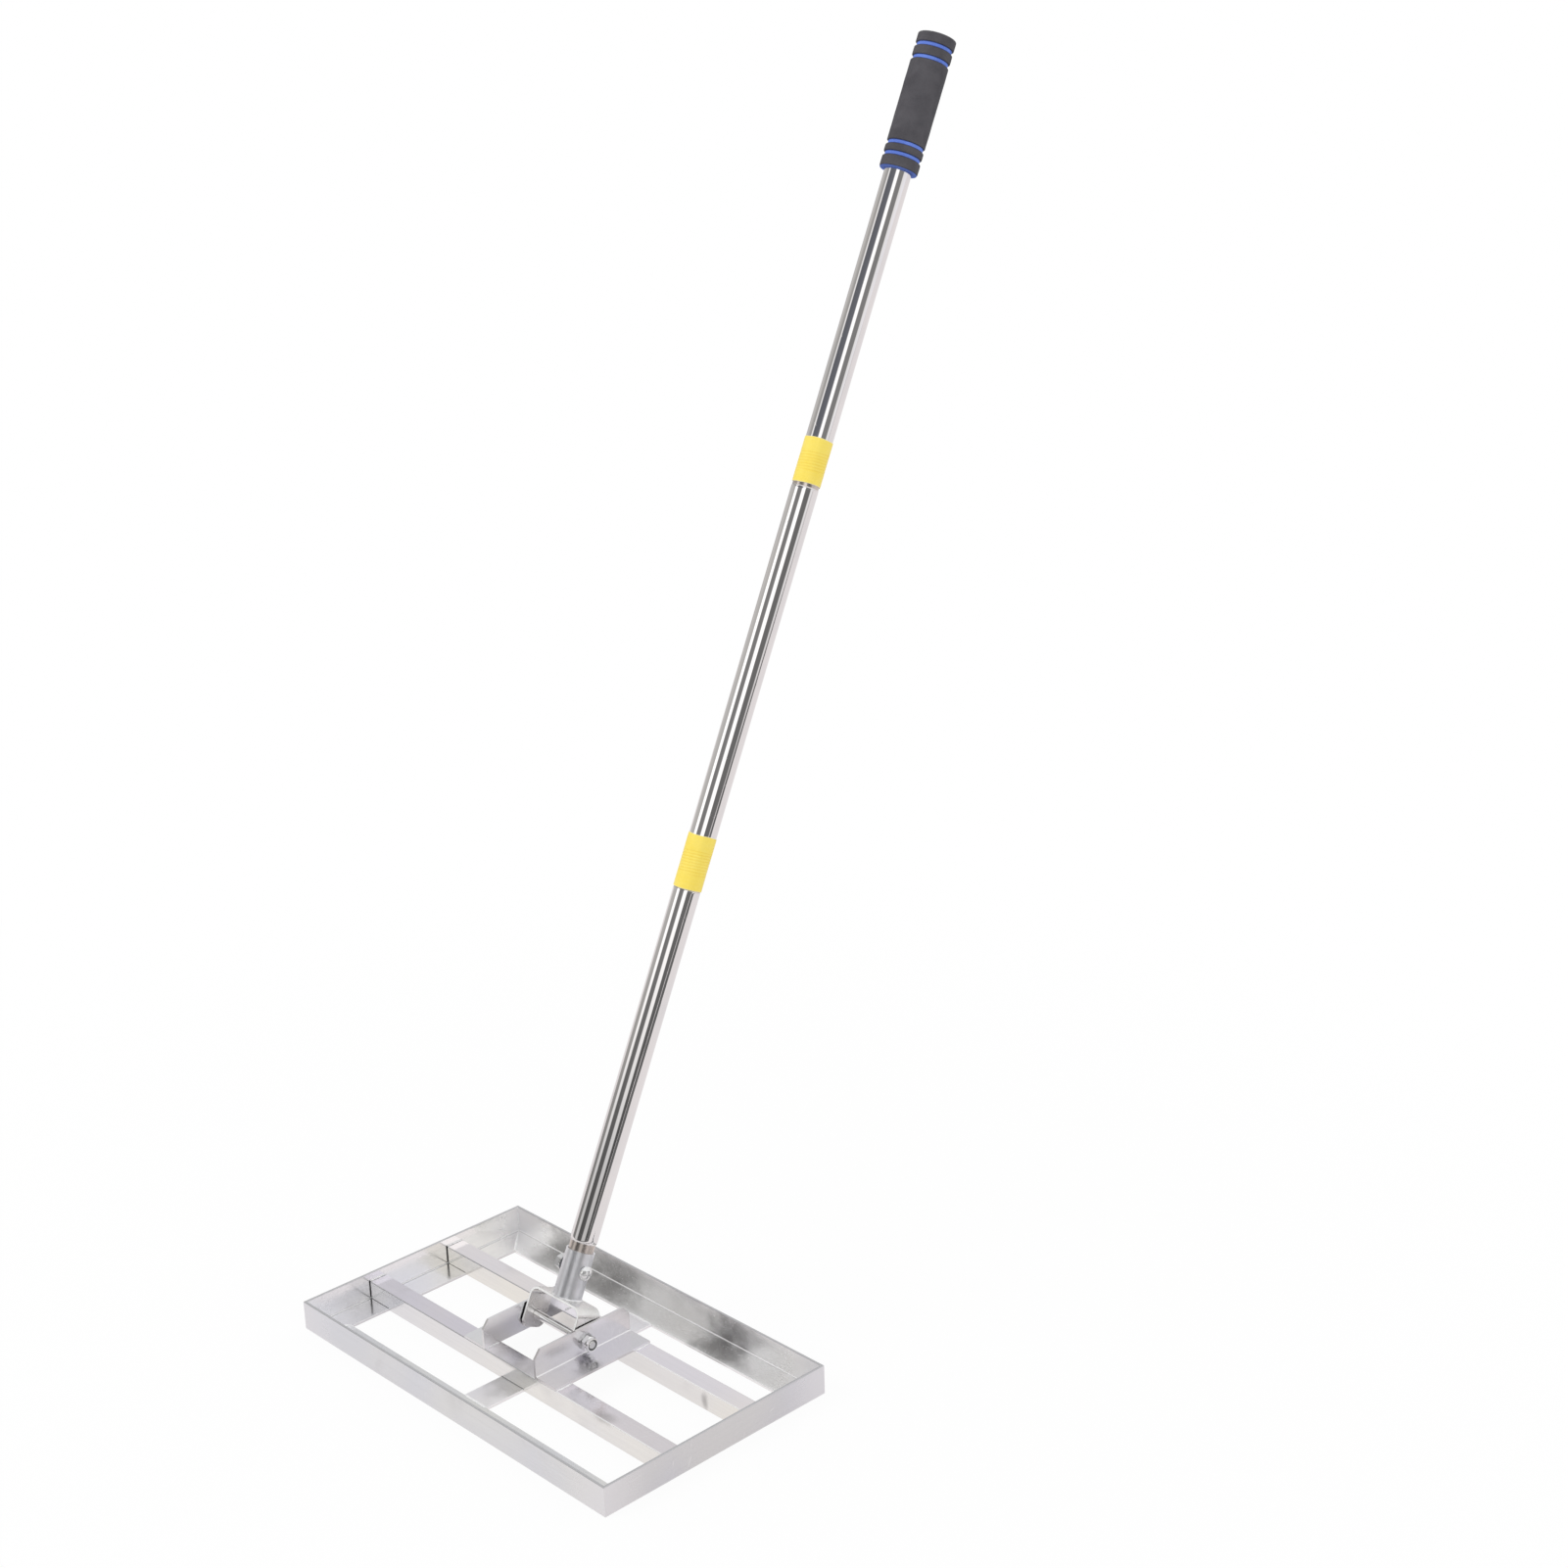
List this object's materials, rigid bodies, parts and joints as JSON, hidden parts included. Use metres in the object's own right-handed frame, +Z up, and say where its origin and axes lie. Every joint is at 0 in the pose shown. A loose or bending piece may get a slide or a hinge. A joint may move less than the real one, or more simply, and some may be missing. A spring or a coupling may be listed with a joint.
{
  "type": "lawn leveling rake",
  "caption": "Long-handled lawn leveling rake: a flat rectangular aluminium frame with cross slats on a bolted tilting yoke, polished sectional pole and foam grip.",
  "frame": {"origin": "on the ground under the middle of the head, on the cross strip's underside", "axes": "+Z up; X along the head's long side and along the pivot; +Y towards the back, where the handle leans"},
  "size_m": [0.43, 0.6638, 1.1329],
  "materials": {
    "mill_aluminium": "satin",
    "zinc_steel": "satin",
    "galvanised_steel": "satin",
    "polished_stainless": "polished",
    "yellow_film": "satin",
    "blue_foam": "matte",
    "dark_foam": "matte",
    "dark_plastic": "matte"
  },
  "bodies": {
    "head": {"front_angle": "mill_aluminium", "back_angle": "mill_aluminium", "left_angle": "mill_aluminium", "right_angle": "mill_aluminium", "front_slat": "mill_aluminium", "rear_slat": "mill_aluminium", "cross_strip": "mill_aluminium", "left_bracket": "mill_aluminium", "right_bracket": "mill_aluminium", "pivot_bolt": "zinc_steel", "pivot_washers": "zinc_steel", "friction_washers": "dark_plastic", "lock_nut": "zinc_steel", "lock_nut_insert": "dark_plastic"},
    "handle": {"yoke": "galvanised_steel", "socket_tube": "galvanised_steel", "clamp_screw": "zinc_steel", "clamp_washer": "zinc_steel", "clamp_nut": "zinc_steel", "lower_pole": "polished_stainless", "middle_pole": "polished_stainless", "upper_pole": "polished_stainless", "lower_sleeve": "yellow_film", "upper_sleeve": "yellow_film", "end_plug": "dark_plastic", "grip_core": "blue_foam", "grip_cap": "dark_foam", "grip_upper_ring": "dark_foam", "grip_cover": "dark_foam", "grip_lower_ring": "dark_foam", "grip_end": "dark_foam"}
  },
  "joints": [
    {"name": "handle_pivot", "type": "hinge", "parent": "head", "child": "handle", "pos_m": [0, 0.0028, 0.034], "axis": [1, 0, 0], "range_deg": [-60.5, 111.3]}
  ]
}
